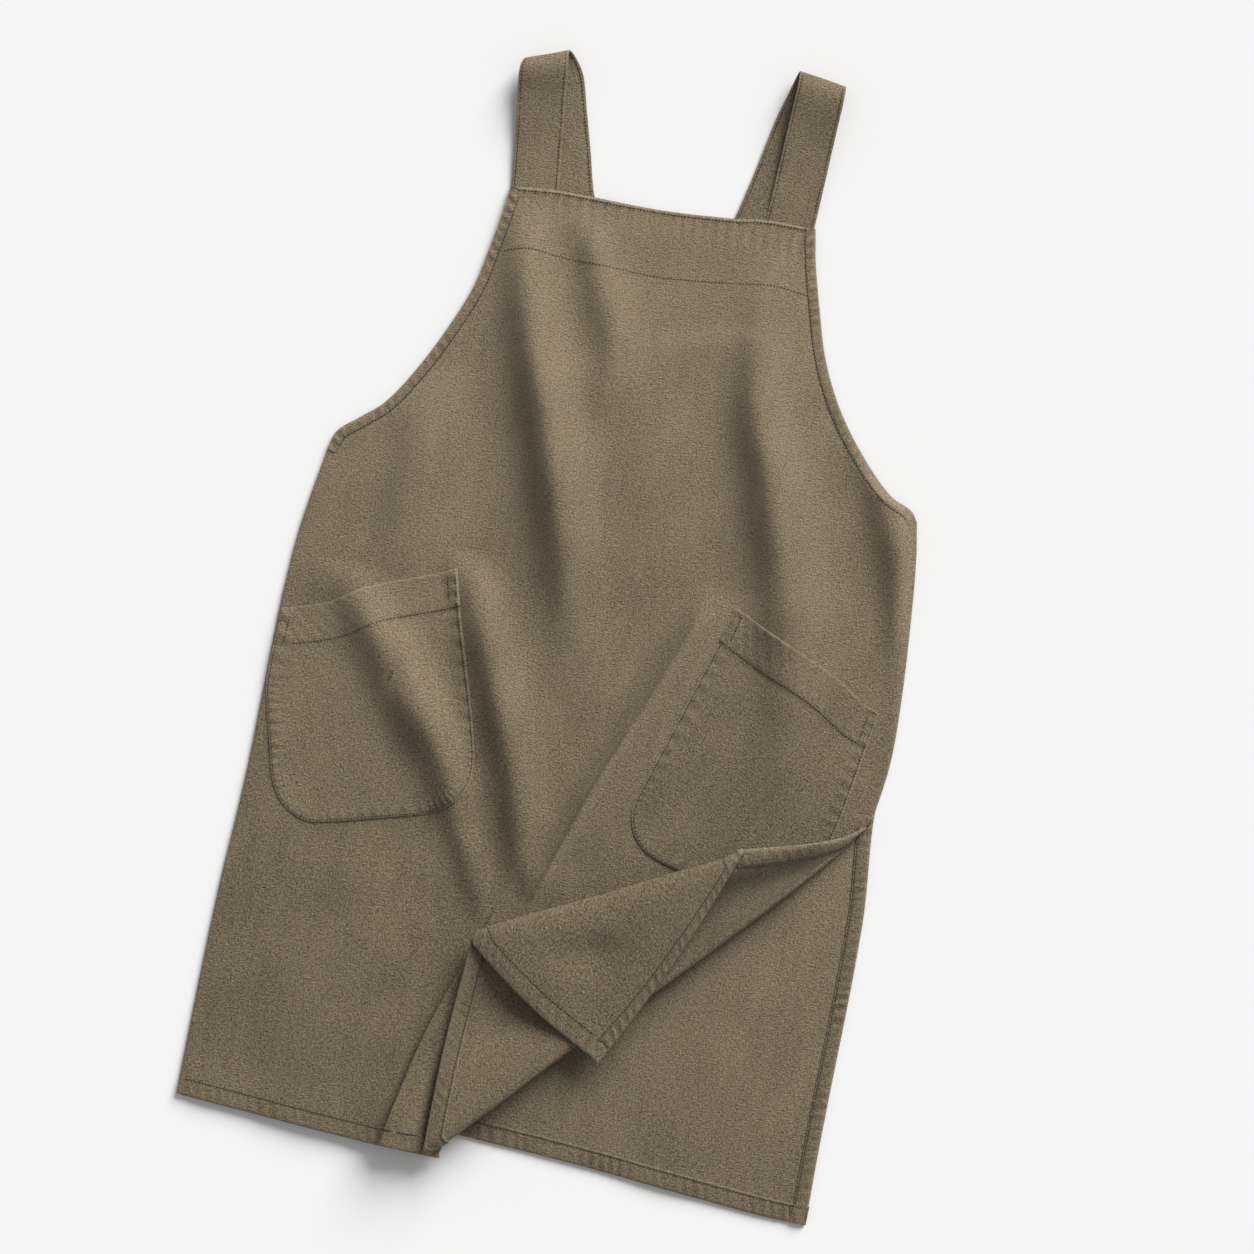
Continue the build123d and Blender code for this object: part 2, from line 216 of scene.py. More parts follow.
# Soft folds of the front, each named by where it lies. Its stations are: Y, the crest's X, its height,
# and its width to the left and to the right.
FRONT_FOLDS = {
    "from the bib's left end down to the middle": (
        (350, -128, 0, 18, 22), (310, -126, 5.5, 18, 22), (235, -105, 11, 20, 25), (155, -76, 14, 20, 26),
        (80, -51, 13, 20, 26), (20, -31, 8.5, 21, 26), (-40, -10, 3.5, 22, 28), (-110, 12, 0, 22, 28),
    ),
    "shallow, beside it": (
        (355, -78, 0, 17, 18), (325, -68, 3.8, 17, 18), (255, -38, 4.8, 20, 22), (205, -17, 3.4, 24, 24),
        (150, 2, 1.4, 26, 26), (100, 14, 0, 26, 26),
    ),
    "from the bib's right end down to the right pocket": (
        (350, 94, 0, 20, 32), (300, 96, 5.5, 20, 32), (250, 101, 10, 20, 32), (205, 108, 14.5, 21, 30),
        (135, 133, 18, 23, 30), (60, 157, 16, 24, 30), (-10, 174, 10, 24, 29), (-90, 186, 5, 24, 28),
        (-160, 190, 0, 24, 28),
    ),
    "beside the right armhole and seam": (
        (225, 190, 0, 16, 26), (180, 216, 6, 17, 26), (130, 243, 10.5, 19, 26), (75, 264, 10.5, 18, 26),
        (10, 281, 7, 14, 26), (-60, 292, 0, 12, 26),
    ),
    "beside the left seam": (
        (190, -180, 0, 18, 30), (120, -186, 4.5, 18, 30), (30, -188, 4.5, 18, 30), (-40, -190, 0, 18, 30),
    ),
    "past the left pocket's inner corner": (
        (30, -126, 0, 18, 20), (-10, -107, 7.5, 18, 21), (-80, -77, 12, 19, 21), (-155, -46, 11, 18, 20),
        (-235, -21, 6, 15, 16), (-268, -14, 0, 12, 14),
    ),
    "across the left pocket and down to the pleat": (
        (0, -228, 0, 24, 26), (-38, -203, 7, 25, 26), (-80, -171, 10, 26, 26), (-130, -131, 10.5, 25, 25),
        (-172, -104, 7, 20, 22), (-208, -88, 5, 15, 20), (-245, -68, 5, 14, 14), (-300, -48, 0, 10, 10),
    ),
    "the long crease": (
        (40, 102, 0, 20, 40), (0, 90, 6.5, 17, 40), (-71, 65, 7, 17, 38), (-150, 34, 7.5, 18, 38),
        (-239, 5, 7, 18, 30), (-285, -11, 3, 16, 24), (-330, -30, 0, 18, 24),
    ),
    "the long crease's sharp edge": (
        (20, 92, 0, 3, 14), (-4, 86, 1.8, 3, 12), (-71, 61, 2.4, 2.8, 12), (-150, 30, 3.4, 2.8, 12),
        (-239, 1, 3.6, 3, 12), (-285, -13, 1.6, 3, 12), (-320, -26, 0, 3, 14),
    ),
    "shallow, across the lower left": (
        (-250, -160, 0, 40, 60), (-330, -150, 3.5, 44, 60), (-430, -165, 3, 44, 60),
        (-520, -170, 1, 44, 60),
    ),
    "over the straps that cross inside": (
        (300, 20, 0, 90, 60), (200, 14, 3.2, 80, 60), (110, 14, 3.6, 70, 60), (30, 14, 2.0, 60, 60),
        (-40, 14, 0, 60, 60),
    ),
}
# One runs across, above the right pocket. Its stations start with X and the crest's Y.
FOLD_ABOVE_POCKET = (
    (-20, 232, 0, 30, 12), (30, 247, 3, 30, 14), (80, 260, 2.4, 30, 14), (120, 266, 0, 26, 14),
)
fold_strength = 2.05


def drape(x, y):
    """How high the front's right side lies, apart from the pleat at its hem."""
    inward = np.clip(edge_distance(x, y), 0, 40)
    high = 4.5 + 1.4 * np.maximum(smooth(inward / 30), smooth((y - 290) / 50))
    # The seams along the sides and the bib hold the folds down.
    free = smooth(inward / 17) * (0.25 + 0.75 * smooth((368 - y) / 60))
    folds = sum(ridge(x, y, *stations) for stations in FRONT_FOLDS.values())
    folds = folds + ridge(y, x, *FOLD_ABOVE_POCKET)
    high = high + fold_strength * folds * free
    high = high + undulation(x, y, 3, 7, 60, 170, 0.8) * free
    # The lower fold lifts the cloth beside it.
    above_fold = (115 - x) * 0.741 + (y + 331) * 0.671
    high = high + 7 * bell(above_fold, 34) * smooth((-150 - y) / 80)
    # Small gathers hang from the seam along the bib.
    gathered = smooth((y - 336) / 16) * (1 - 0.7 * smooth((y - 356) / 10))
    high = high + gathered * np.sin(x * 0.6 + 1.7 * np.sin(x / 23))
    return high + undulation(x, y, 5, 9, 16, 42, 0.13)


def crease_wear(x, y):
    """Painted light along the long crease: a painted highlight along its edge and painted shade in the
    hollow to its left.
    """
    edge, strength = table(
        y, (20, 92, 0), (-4, 86, 0.7), (-71, 61, 1), (-150, 30, 1), (-239, 1, 1), (-275, -10, 0.6),
        (-300, -18, 0),
    )
    away = x - edge
    pale = 0.3 * bell(away - 4, 5)
    hollow = 0.34 * bell(away + 7, np.where(away < -7, 12, 5))
    return strength * (pale - hollow)


def pleat(y):
    """The soft pleat that the hem makes: its middle, half width, throw and rise at each height."""
    return table(
        y, (-230, -24, 12, 0, 0), (-262, -34, 11, 0.5, 3.5), (-300, -44, 10, 6, 7),
        (-340, -50, 10, 14.5, 8), (-400, -62, 10, 22, 8.5), (-457, -69, 10, 28, 9),
        (-515, -75, 10, 33, 9.5),
    )


def front(x, y):
    """The right side of the front where it lies on the back. X is counted as if there were no pleat."""
    middle, half, throw, rise = pleat(y)
    turn = np.clip((x - middle) / half, -1, 1)
    moved = x - throw * np.sin(math.pi * turn)
    past = smooth((turn + 1) / 2)
    fading = bell(np.maximum(x - middle - half, 0), 75)
    # The pleat's overhanging edge, the hem beside it that is lifted off the floor, and the hollow after it.
    strength = np.clip(throw / 30, 0, 1)
    overhang = strength * 5.5 * bell(turn - 0.6, 0.42)
    lifted = 8 * bell(moved + 84, 36) * smooth((-410 - y) / 90)
    hollow = 5 * bell(moved + 61, 9) * smooth((-400 - y) / 50) * past
    height = drape(moved, y) * (1 - 0.35 * past) + rise * past * fading + overhang + lifted - hollow
    shortened = 2.0 * strength * bell(turn + 0.55, 0.5)
    return np.stack([moved, y - shortened, height], -1)


def back(x, y):
    """The wrong side of the back panel, which lies uppermost."""
    swell = ridge(
        x, y, (-150, 180, 0, 60, 50), (-260, 190, 2.2, 60, 50), (-380, 170, 2.6, 60, 60),
        (-520, 160, 1, 60, 60),
    )
    low = np.clip((-115 - y) / 50, 0, 1)
    uneven = undulation(x, y, 11, 6, 70, 200, 0.5)
    return np.stack([x, y, 1.5 + (1.15 + swell + uneven) * smooth(low)], -1)


# ---------------------------------------------------------------- the corner that is folded twice

slit_length, hem_length = 372.0, 364.0  # from the corner's tip along its edges to the lower fold
flap_slit, flap_hem = 240.0, 165.0  # and to the upper fold
# Unit vectors in plan: out over the two folds, into the layer between them from its slit's edge, and
# out over the flap's slit and hem.
outward_low = np.array((0.741, -0.671))
outward_high = np.array((-0.477, 0.879))
off_slit = np.array((0.298, -0.954))
off_flap_slit = np.array((0.92, -0.39))
off_flap_hem = np.array((-0.55, -0.83))
tip_height = 30.5


def lower_radius(part):
    return table(part, (0, 1.5), (0.08, 3.2), (0.3, 7), (0.6, 8), (0.88, 7.5), (1, 5.2))


def upper_radius(part):
    return table(part, (0, 1.8), (0.1, 4), (0.35, 8), (0.65, 8.2), (0.9, 6), (1, 3.6))


def lower_roll(part):
    """The share of the layer between the folds that the lower fold's half turn takes."""
    return math.pi * lower_radius(part) / (132 + 68 * part)


def upper_roll(part):
    """The share of the flap that the upper fold takes."""
    return 1.45 * math.pi * upper_radius(part) / (240 - 75 * part)


def lower_base(part):
    """Where the flat front ends and the lower fold's half turn begins."""
    return lower_fold.share(part) - lower_radius(part)[..., None] * outward_low


def upper_base(part):
    return upper_fold.share(part) - upper_radius(part)[..., None] * outward_high


def flat_corner(a, b):
    """Where a point of the flat corner comes along the folds, and how far it has gone past each.
    a and b are its distances from the tip, along the slit's edge and along the hem."""
    flap = 1 - a / flap_slit - b / flap_hem
    da, db = slit_length - flap_slit, hem_length - flap_hem
    linear = slit_length * db + hem_length * da - a * db - b * da
    rest = slit_length * hem_length - a * hem_length - b * slit_length
    turned = (linear - np.sqrt(np.maximum(linear**2 - 4 * da * db * rest, 0))) / (2 * da * db)
    on_flap = flap >= 0
    on_layer = hem_length - db * np.minimum(turned, 1)
    reach = np.where(on_flap, flap_hem * np.maximum(1 - flap, 0.003), on_layer)
    part = b / reach
    return on_flap, part, np.clip(turned, 0, 1), flap


def corner(a, b):
    """The right side of the folded corner."""
    a, b = np.broadcast_arrays(np.asarray(a, float), np.asarray(b, float))
    on_flap, part, turned, flap = flat_corner(a, b)
    held = np.clip(part, 0, 1)
    small, large = lower_radius(held), upper_radius(held)
    start, end = lower_base(part), upper_base(part)
    floor = front_at(start)
    foot = floor + 2 * small
    meeting = table(held, (0, 32), (0.1, 31.5), (0.3, 25), (0.55, 21), (0.85, 25), (1, 29))
    crest = meeting + 2 * large

    roll = lower_roll(held)
    angle = math.pi * np.clip(turned / roll, 0, 1)
    over = np.clip((turned - roll) / (1 - roll), 0, 1)
    bow = 11 * (1 - held) ** 5 * hump(over**0.62) - 4 * held**6 * hump(over)
    sideways = small * np.sin(angle) + np.where(over > 0, bow, 0)
    plan = start + (end - start) * over[..., None] + sideways[..., None] * outward_low
    inward = np.maximum(b, 0)
    spread = (4.6 + 5.4 * turned) * (1 - np.exp(-inward / 14)) * np.exp(-inward / 150)
    spread = spread * smooth(turned / 0.25) * smooth((1 - turned) / 0.12)
    plan = plan + spread[..., None] * off_slit
    sag = table(held, (0, 0), (0.05, 4.5), (0.12, 8.5), (0.28, 11), (0.6, 11.5), (0.9, 12), (1, 9))
    arch = 6.5 * (1 - held) ** 3
    rise = foot + (meeting - foot) * smooth(over) + (arch - sag) * hump(over) ** 2
    low = np.where(over > 0, rise, floor + small * (1 - np.cos(angle)))

    roll = upper_roll(held)
    gone = np.clip(flap / roll, 0, 1)
    late = np.clip((gone - 0.35) / 0.65, 0, 1)
    late = late * (1.89 - 1.51 * late + 0.62 * late**2)
    angle = math.pi / 2 * (np.clip(gone / 0.35, 0, 1) + late)
    over = np.where(flap > roll, (flap - roll) / (1 - roll), 0)
    side_bow = 5 * (1 - held) ** 3 * hump(over)
    hem_bow = 5.5 * held**3 * hump(over)
    set_back = 1.6 * large
    inner = end - set_back[..., None] * outward_high
    turning = np.where(angle < math.pi / 2, 0, 1 - np.sin(angle)) * np.where(over > 0, 0, 1)
    flap_plan = np.where((over > 0)[..., None], inner + (flap_tip - inner) * over[..., None], end)
    round_out = large * np.sin(angle) - set_back * turning
    flap_plan = flap_plan + round_out[..., None] * outward_high
    flap_plan = flap_plan + side_bow[..., None] * off_flap_slit
    flap_plan = flap_plan + hem_bow[..., None] * off_flap_hem
    dent = 6 * bell(np.hypot((flap_plan[..., 0] - 52) / 38, (flap_plan[..., 1] + 298) / 26))
    dent = dent * smooth(over / 0.25)
    edge_curl = 2.2 * (1 - held) ** 4 * hump(over)
    drop = crest + (tip_height - crest) * smooth(over * 1.15) - dent + edge_curl
    high = np.where(over > 0, drop, meeting + large * (1 - np.cos(angle)))

    place = np.where(on_flap[..., None], flap_plan, plan)
    height = np.where(on_flap, high, low)
    return np.concatenate([place, height[..., None]], -1)


def front_at(plan):
    """How high the front lies at the foot of the lower fold."""
    inside = np.clip(plan[..., 0], -62, 290)
    return front(inside, plan[..., 1])[..., 2]


# ---------------------------------------------------------------- meshes


def normals(surface, a, b, step=0.6):
    """Unit vectors out of the right side of a surface."""
    across = surface(a + step, b) - surface(a - step, b)
    along = surface(a, b + step) - surface(a, b - step)
    out = np.cross(across, along)
    return out / np.maximum(np.linalg.norm(out, axis=-1, keepdims=True), 1e-9)


def raised(surface, a, b, lift):
    """Points of a surface moved out along its normals."""
    return surface(a, b) + normals(surface, a, b) * np.asarray(lift)[..., None]


def grid_faces(rows, columns, closed=False):
    """Faces of a grid of points. A closed grid joins its last column to its first."""
    index = np.arange(rows * columns).reshape(rows, columns)
    if closed:
        index = np.hstack([index, index[:, :1]])
    corners = index[:-1, :-1], index[:-1, 1:], index[1:, 1:], index[1:, :-1]
    return np.stack(corners, -1).reshape(-1, 4)


class Cloth:
    """A mesh that grows patch by patch, with the flat place of each point and its wear and painted light."""

    def __init__(self):
        self.points, self.faces, self.flat, self.wear, self.count = [], [], [], [], 0

    def add(self, points, faces, flat=None, wear=0.0):
        points = points.reshape(-1, 3)
        flat = points[:, :2] if flat is None else flat.reshape(-1, 2)
        wear = np.broadcast_to(wear, len(points)) if np.ndim(wear) == 0 else wear.reshape(-1)
        self.points.append(points)
        self.flat.append(flat)
        self.wear.append(wear)
        self.faces += [[self.count + i for i in face] for face in faces]
        self.count += len(points)

    def slab(self, top, bottom, flat, wear=0.0, round_middle=False):
        """A sheet between two grids of points of the same size. Where it goes round a middle, each row
        is a ring, and the last one is filled in."""
        rows, columns = top.shape[:2]
        upper = grid_faces(rows, columns, closed=round_middle)
        index = np.arange(rows * columns).reshape(rows, columns)
        rim = index[0]
        if not round_middle:
            rim = np.concatenate([rim, index[1:, -1], index[-1, -2::-1], index[-2:0:-1, 0]])
        ahead = np.roll(rim, -1)
        shift = rows * columns
        sides = np.stack([rim, rim + shift, ahead + shift, ahead], -1)
        faces = np.vstack([upper, upper[:, ::-1] + shift, sides]).tolist()
        if round_middle:
            faces += [index[-1].tolist(), (shift + index[-1, ::-1]).tolist()]
        points = np.vstack([top.reshape(-1, 3), bottom.reshape(-1, 3)])
        wear = np.broadcast_to(wear, top.shape[:2]).reshape(-1)
        self.add(points, faces, np.vstack([flat.reshape(-1, 2)] * 2), np.concatenate([wear, wear]))

    def tube(self, rings, flat, wear):
        """A closed ring of points carried along a line, with both ends capped."""
        rows, columns = rings.shape[:2]
        faces = grid_faces(rows, columns, closed=True).tolist()
        faces.append(list(range(columns))[::-1])
        faces.append(list(range((rows - 1) * columns, rows * columns)))
        self.add(rings, faces, flat, wear)

    def make(self, name, material, slot, *nodes):
        """The piece itself, riding on the root body in the place of its CAD nodes."""
        mesh = bpy.data.meshes.new(name)
        mesh.from_pydata((np.vstack(self.points) * MM).tolist(), [], self.faces)
        builder = bmesh.new()
        builder.from_mesh(mesh)
        bmesh.ops.recalc_face_normals(builder, faces=builder.faces)
        builder.to_mesh(mesh)
        builder.free()
        corner_of = np.zeros(len(mesh.loops), np.int32)
        mesh.loops.foreach_get("vertex_index", corner_of)
        flat = np.vstack(self.flat)[corner_of] * MM
        mesh.uv_layers.new(name="UVMap").data.foreach_set("uv", flat.astype(np.float32).ravel())
        # This point attribute holds each point's wear together with its painted highlight and painted shade.
        worn_and_painted_light = mesh.attributes.new("wear", "FLOAT", "POINT")
        worn_and_painted_light.data.foreach_set("value", np.concatenate(self.wear).astype(np.float32))
        mesh.polygons.foreach_set("use_smooth", np.ones(len(mesh.polygons), bool))
        mesh.set_sharp_from_angle(angle=math.radians(70))
        mesh.materials.append(material)
        piece = bpy.data.objects.new(name, mesh)
        bpy.context.scene.collection.objects.link(piece)
        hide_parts(*nodes)
        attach(piece, "root")
        return piece


# The section of a turned hem, from its seam out to its edge and back below. Each point is a share of the
# width, an inset from the edge in millimetres, a lift, how much it puckers, and its wear: the negative
# values along the seam line are painted shade for the seam's groove, and the positive ones at the folded
# edge are edge wear.
HEM_SECTION = (
    (1, 0, 0.02, 0, -1.1), (0.9, 0, 0.3, 0.5, -0.2), (0.62, 0, 0.62, 1, 0), (0.36, 0, 0.7, 1, 0.1),
    (0, 2.2, 0.62, 0.8, 0.35), (0, 0.8, 0.28, 0.45, 0.8), (0, 0, -0.55, 0.2, 1),
    (0, 0.7, -1.55, -0.4, 0.85), (0, 2.2, -2.0, -0.8, 0.35), (0.36, 0, -2.2, -1, 0.1),
    (0.62, 0, -2.2, -1, 0), (0.86, 0, -2.0, -0.6, 0), (1, 0, -1.7, -0.3, -0.8), (1, 1.2, -2.0, -0.4, 0.1),
    (1, 2.0, -1.55, -0.1, 0.3), (1, 2.2, -0.5, 0, 0),
)
# A faced edge is thinner, because its facing is a piece of its own. Its negative wear value on the seam line
# is painted shade for the seam's groove.
FACED_SECTION = (
    (1, 0, 0.02, 0, -1.1), (0.88, 0, 0.4, 0.5, -0.2), (0.6, 0, 0.66, 1, 0), (0.36, 0, 0.7, 1, 0.1),
    (0, 2, 0.62, 0.8, 0.4), (0, 0.7, 0.26, 0.5, 0.9), (0, 0, -0.4, 0.2, 1), (0, 0.5, -0.95, 0, 0.6),
    (0.5, 0, -1.0, 0, 0), (1, 0, -0.7, 0, 0),
)
# The rounded side, where front and back meet.
SIDE_SECTION = (
    (1, 0, 0.04, 0, 0), (0.7, 0, 0.2, 0.3, 0), (0.4, 0, 0.22, 0.6, 0), (0, 2, 0.05, 0.6, 0.15),
    (0, 0.6, -0.5, 0.4, 0.45), (0, 0, -1.3, 0.2, 0.5), (0, 0.7, -2.2, 0, 0.3), (0, 2.4, -2.7, 0, 0),
    (0.6, 0, -2.8, 0, 0), (1, 0, -1.0, 0, 0),
)


def along_edge(edge, spacing, low, high, chance):
    """Random values at knots along an edge, about this far apart."""
    knots = np.linspace(0, edge.length, max(int(edge.length / spacing), 4))
    return zip(knots, chance.uniform(low, high, len(knots)))


def band(
    piece, surface, edge, width, section, inward=1, flip=1, pucker=0.42, start=0.0, end=0.0, step=2.4,
    phase=0.0,
):
    """A hem along an edge. inward is 1 where the cloth lies to the left of the edge. flip turns it over."""
    distance = np.linspace(start, edge.length - end, max(int((edge.length - start - end) / step), 6))
    share, inset, lift, puckers, wear = np.array(section).T
    reach = share * width + inset
    along, across = np.meshgrid(distance, reach, indexing="ij")
    place = edge.beside(along, inward * across)
    chance = np.random.default_rng(int(edge.length * 7 + phase))
    drift = table(distance, *along_edge(edge, 26, -2.2, 2.2, chance))
    swell = table(distance, *along_edge(edge, 15, 0.05, 1.3, chance))
    wave = np.sin((along + 0.3 * across) * 2 * math.pi / pucker_pitch + drift[:, None] + phase)
    rise = lift[None] + pucker * wave * puckers[None] * swell[:, None]
    # Paler on the puckers' crests, where they wear, and darker in their troughs, which is painted shade.
    worn_and_painted_light = wear[None] + pucker * np.abs(puckers[None]) * (0.75 * wave - 0.2) * swell[:, None]
    if flip < 0:
        rise = -rise - cloth
    points = raised(surface, place[..., 0], place[..., 1], rise)
    steps = np.linalg.norm(np.diff(points[:, 3], axis=0), axis=1)
    run = start + np.concatenate([[0], np.cumsum(steps)])
    left = edge.left(distance)
    way = np.stack([left[:, 1], -left[:, 0]], -1)
    flat = place + (way * (run - distance)[:, None])[:, None]
    piece.tube(points, flat + (corner_uv if surface is corner else 0), np.clip(worn_and_painted_light, -1, 1.3))


def stitches(piece, surface, line, lift=0.35, start=1.5, end=1.5, flip=1, pitch=stitch_pitch):
    """A row of separate stitches along a line on a surface, each a tapered bead with hexagonal rings."""
    sides = 6
    count = max(int((line.length - start - end) / pitch), 1)
    middle = start + pitch * (np.arange(count) + 0.5)
    shares = np.array((-0.5, -0.36, -0.12, 0.12, 0.36, 0.5))
    height = np.array((-0.3, 0.0, 0.14, 0.14, 0.0, -0.3))
    radius = np.array((0.16, 0.4, 0.5, 0.5, 0.4, 0.16))
    distance = middle[:, None] + shares * pitch * 0.8
    plan = line.at(distance)
    x, y = plan[..., 0], plan[..., 1]
    up = normals(surface, x, y) * flip
    spine = surface(x, y) + up * (lift + height)[None, :, None]
    way = np.gradient(spine, axis=1)
    way /= np.maximum(np.linalg.norm(way, axis=-1, keepdims=True), 1e-9)
    side = np.cross(way, up)
    turn = np.arange(sides) * 2 * math.pi / sides
    ring = side[:, :, None] * np.cos(turn)[:, None] + up[:, :, None] * (0.8 * np.sin(turn))[:, None]
    points = spine[:, :, None] + ring * radius[None, :, None, None]
    each = sides * len(shares)
    one = grid_faces(len(shares), sides, closed=True).tolist()
    one += [list(range(sides))[::-1], list(range(each - sides, each))]
    piece.add(points, [[each * k + i for i in face] for k in range(count) for face in one])


# ---------------------------------------------------------------- materials


class Nodes:
    """A new material, with short ways to add linked nodes to it."""

    def __init__(self, name):
        self.material = bpy.data.materials.new(name)
        self.material.use_nodes = True
        self.nodes = self.material.node_tree.nodes
        self.nodes.clear()
        self.shader = self.node("BsdfPrincipled")
        self.node("OutputMaterial", Surface=self.shader.outputs[0])

    def put(self, value, socket):
        if isinstance(value, bpy.types.NodeSocket):
            self.material.node_tree.links.new(value, socket)
        else:
            socket.default_value = value

    def fill(self, node, **values):
        """Set or link the sockets of a node, named with _ for each space."""
        for name, value in values.items():
            self.put(value, node.inputs[name.replace("_", " ")])
        return node

    def node(self, kind, **values):
        return self.fill(self.nodes.new("ShaderNode" + kind), **values)

    def finish(self, **values):
        """The material, with these values in the sockets of its shader."""
        self.fill(self.shader, **values)
        return self.material

    def maths(self, operation, *values):
        node = self.node("Math")
        node.operation = operation
        for value, socket in zip(values, node.inputs):
            self.put(value, socket)
        return node.outputs[0]

    def flat(self, across=1.0, along=1.0):
        """The cloth's own flat coordinates, in metres, stretched."""
        coordinates = self.node("UVMap")
        coordinates.uv_map = "UVMap"
        return self.node("Mapping", Vector=coordinates.outputs[0], Scale=(across, along, 1)).outputs[0]

    def noise(self, across, along, detail=2.0, roughness=0.5):
        """Noise whose spots are 1/across by 1/along metres, from 0 to 1."""
        place = self.flat(across, along)
        node = self.node("TexNoise", Vector=place, Scale=1.0, Detail=detail, Roughness=roughness)
        return node.outputs[0]

    def height_on_cloth(self):
        """How far up the apron a place of the cloth was, in metres."""
        return self.node("SeparateXYZ", Vector=self.flat()).outputs[1]

    def range(self, value, low, high, to_low=0.0, to_high=1.0):
        node = self.node("MapRange", Value=value, From_Min=low, From_Max=high, To_Min=to_low, To_Max=to_high)
        return node.outputs[0]

    def mix(self, factor, first, second):
        node = self.node("Mix")
        node.data_type = "RGBA"
        for value, place in ((factor, 0), (first, 6), (second, 7)):
            self.put(value, node.inputs[place])
        return node.outputs[2]

    def attribute(self, name):
        node = self.node("Attribute")
        node.attribute_name = name
        return node.outputs["Fac"]

    def bump(self, height, strength, distance):
        node = self.node("Bump", Height=height, Strength=strength, Distance=distance)
        self.fill(self.shader, Normal=node.outputs[0])


def washed_canvas(name, dark, light, worn_and_painted_light):
    """Plain-woven linen canvas, washed until it is soft: uneven yarns, cloudy dye and paler worn edges, with
    painted highlight and painted shade from each point's wear attribute and a painted light falloff from bib
    to hem.
    """
    made = Nodes(name)
    warp = made.noise(900, 230, 2.0, 0.6)
    weft = made.noise(180, 900, 2.0, 0.6)
    fuzz = made.noise(520, 620, 4.0, 0.7)
    fine = made.noise(1300, 1300, 2.0, 0.6)
    crumple = made.noise(250, 190, 3.0, 0.55)
    yarns = made.range(made.maths("ADD", warp, weft), 0.74, 1.26)
    grain = made.range(fuzz, 0.36, 0.64)
    tone = made.maths("MULTIPLY_ADD", yarns, 0.40, made.maths("MULTIPLY", grain, 0.70))
    clouds, patches = made.noise(24, 18, 3.0, 0.55), made.noise(7, 6, 2.0, 0.5)
    streaks = made.noise(110, 13, 2.0, 0.55)
    shades = ((fine, 0.3, 0.12), (clouds, 0.35, 0.1), (patches, 0.35, 0.08), (streaks, 0.32, 0.09))
    for shade, low, weight in shades:
        tone = made.maths("MULTIPLY_ADD", made.range(shade, low, 1 - low), weight, tone)
    # Painted light falloff: the cloth is lighter towards the bib and darker towards the hem.
    painted_falloff = made.range(made.height_on_cloth(), -0.3, 0.34, -0.06, 0.28)
    tone = made.maths("ADD", tone, painted_falloff)
    colour = made.mix(made.range(tone, 0.26, 1.20), dark, light)
    # The wear attribute holds real wear and painted light: above 0 it mixes in the pale colour for worn
    # edges, pucker crests and a painted highlight along the long crease; below 0 it mixes in the dark colour
    # as painted shade in seam grooves, pucker troughs and the crease's hollow.
    rubbed_and_painted_light = made.maths("MULTIPLY", made.attribute("wear"), made.range(fuzz, 0.38, 0.62, 0.45, 1.0))
    colour = made.mix(made.range(rubbed_and_painted_light, 0.0, 1.2, 0.0, 0.8), colour, worn_and_painted_light)
    colour = made.mix(made.range(rubbed_and_painted_light, -0.5, 0.0, 0.45, 0.0), colour, dark)
    height = made.maths("MULTIPLY_ADD", yarns, 0.5, made.maths("MULTIPLY", grain, 0.9))
    height = made.maths("MULTIPLY_ADD", fine, 0.35, height)
    height = made.maths("MULTIPLY_ADD", crumple, 1.1, height)
    made.bump(height, 1.0, 0.0009)
    return made.finish(
        Base_Color=colour, Roughness=made.range(yarns, 0.0, 1.0, 0.95, 0.82), Sheen_Weight=0.06,
        Sheen_Roughness=0.6, Specular_IOR_Level=0.15,
    )


def sewing_thread(name, dark, light):
    """Twisted thread, a little darker than the cloth."""
    made = Nodes(name)
    twist = made.noise(900, 900, 2.0, 0.5)
    colour = made.mix(made.range(twist, 0.35, 0.65), dark, light)
    made.bump(twist, 0.5, 0.0002)
    return made.finish(
        Base_Color=colour, Roughness=made.range(twist, 0.3, 0.7, 0.55, 0.8), Sheen_Weight=0.1,
    )


canvas = washed_canvas(
    "canvas", dark=(0.088, 0.062, 0.034, 1), light=(0.350, 0.272, 0.182, 1), worn_and_painted_light=(0.37, 0.295, 0.205, 1)
)
thread = sewing_thread("thread", dark=(0.02, 0.015, 0.009, 1), light=(0.062, 0.046, 0.028, 1))


# ---------------------------------------------------------------- the front panel

fold_rows, seam_rows, armhole_rows = 112, 74, 72
edge_share = 0.012


def row_ends():
    """The left and right ends of the rows of the flat front, from its hem to its bib."""
    low = np.linspace(1 - edge_share / 2, edge_share / 2, fold_rows)
    hem_to_slit = np.interp(slit_top, left_side.points[:, 1], left_side.reach)
    left_low = left_side.at(hem_to_slit * (1 - low))
    right_low = lower_base(low)
    high = np.linspace(0, 1, seam_rows + 1)[1:]
    left_mid = left_side.at(hem_to_slit + (left_side.length - hem_to_slit) * high)
    right_mid = right_seam.share(high)
    up = np.linspace(0, 1, armhole_rows + 1)[1:]
    left_high = left_armhole.share(up)
    right_high = right_armhole.share(up)
    return np.vstack([left_low, left_mid, left_high]), np.vstack([right_low, right_mid, right_high])


